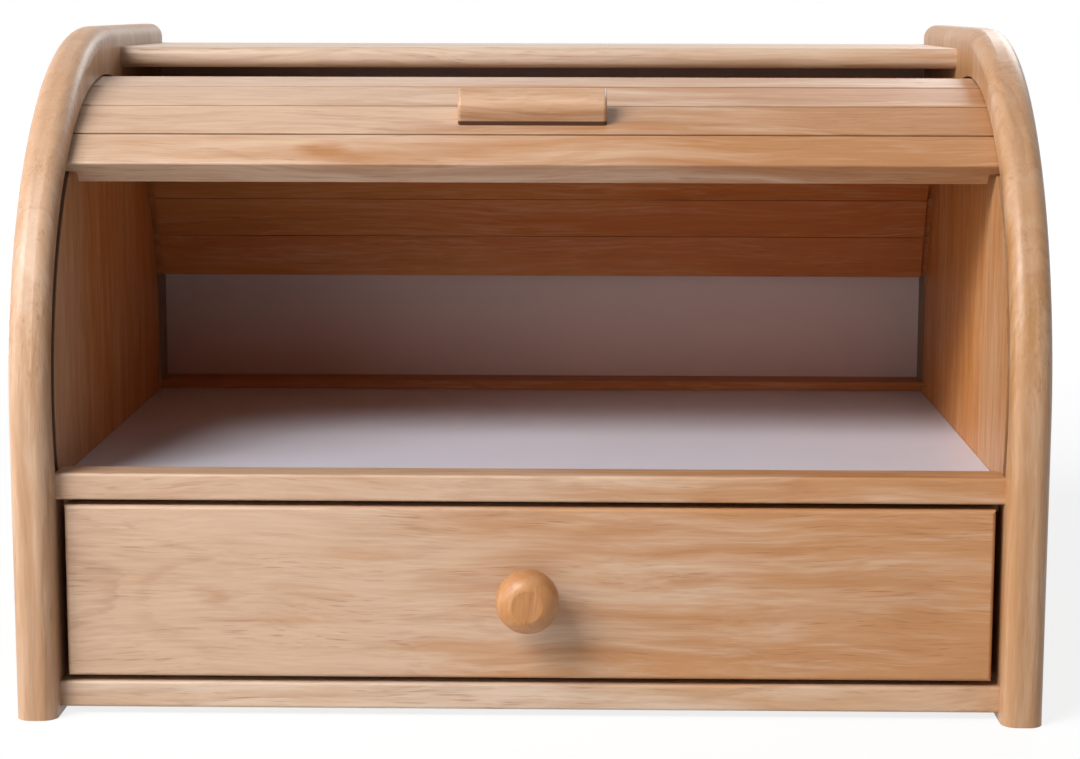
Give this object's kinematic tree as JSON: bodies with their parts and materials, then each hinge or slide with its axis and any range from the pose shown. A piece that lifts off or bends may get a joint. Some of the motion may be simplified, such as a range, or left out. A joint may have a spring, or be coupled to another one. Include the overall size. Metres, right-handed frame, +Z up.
{
  "type": "bread box with drawer",
  "caption": "Wooden roll-top bread box: slatted tambour in curved side panels over a white bread shelf, with a knobbed drawer underneath.",
  "frame": {"origin": "on the surface it stands on, under the middle of the whole box, knob included", "axes": "+X to the user's right, +Y to the back, +Z up; the tambour and drawer open towards -Y"},
  "size_m": [0.4, 0.288, 0.267],
  "materials": {
    "side_wood": "clear matt lacquer on edge-glued boards, grain upright",
    "rail_wood": "clear matt lacquer, grain across",
    "slat_wood": "clear matt lacquer, grain along the slat",
    "drawer_front_wood": "clear matt lacquer, grain across",
    "drawer_box_wood": "plain sanded wood",
    "handle_wood": "clear matt lacquer",
    "knob_wood": "turned and clear lacquered",
    "dowel_wood": "plain beech",
    "white_board": "white faced hardboard",
    "screw_steel": "zinc plated",
    "pin_steel": "plain steel",
    "cord": "twisted nylon cord"
  },
  "bodies": {
    "case": {"side_left": "side_wood", "side_right": "side_wood", "top_board": "rail_wood", "shelf_front_rail": "rail_wood", "shelf_rear_rail": "rail_wood", "shelf_panel": "white_board", "base_front_rail": "rail_wood", "base_rear_rail": "rail_wood", "base_panel": "white_board", "back_panel": "white_board", "back_panel_pins": "pin_steel", "rail_dowels": "dowel_wood", "top_board_dowels": "dowel_wood", "drawer_runner_left": "rail_wood", "drawer_runner_right": "rail_wood", "drawer_kicker_left": "rail_wood", "drawer_kicker_right": "rail_wood", "kicker_screws": "screw_steel"},
    "tambour": {"tambour_lead_slat": "slat_wood", "tambour_slat_02": "slat_wood", "tambour_slat_03": "slat_wood", "tambour_slat_04": "slat_wood", "tambour_slat_05": "slat_wood", "tambour_slat_06": "slat_wood", "tambour_slat_07": "slat_wood", "tambour_slat_08": "slat_wood", "tambour_slat_09": "slat_wood", "tambour_slat_10": "slat_wood", "tambour_slat_11": "slat_wood", "tambour_slat_12": "slat_wood", "tambour_handle": "handle_wood", "handle_screws": "screw_steel", "tambour_cords": "cord"},
    "drawer": {"drawer_front": "drawer_front_wood", "drawer_side_left": "drawer_box_wood", "drawer_side_right": "drawer_box_wood", "drawer_back": "drawer_box_wood", "drawer_bottom": "white_board", "drawer_bottom_pins": "pin_steel", "drawer_dowels": "dowel_wood", "drawer_knob": "knob_wood", "knob_screw": "screw_steel"}
  },
  "joints": [
    {"name": "tambour_roll", "type": "hinge", "parent": "case", "child": "tambour", "pos_m": [0, -0.0005, 0.1235], "axis": [1, 0, 0], "range_deg": [-25.3, 60.2]},
    {"name": "drawer_slide", "type": "slide", "parent": "case", "child": "drawer", "axis": [0, -1, 0], "range_m": [0, 0.17]}
  ]
}
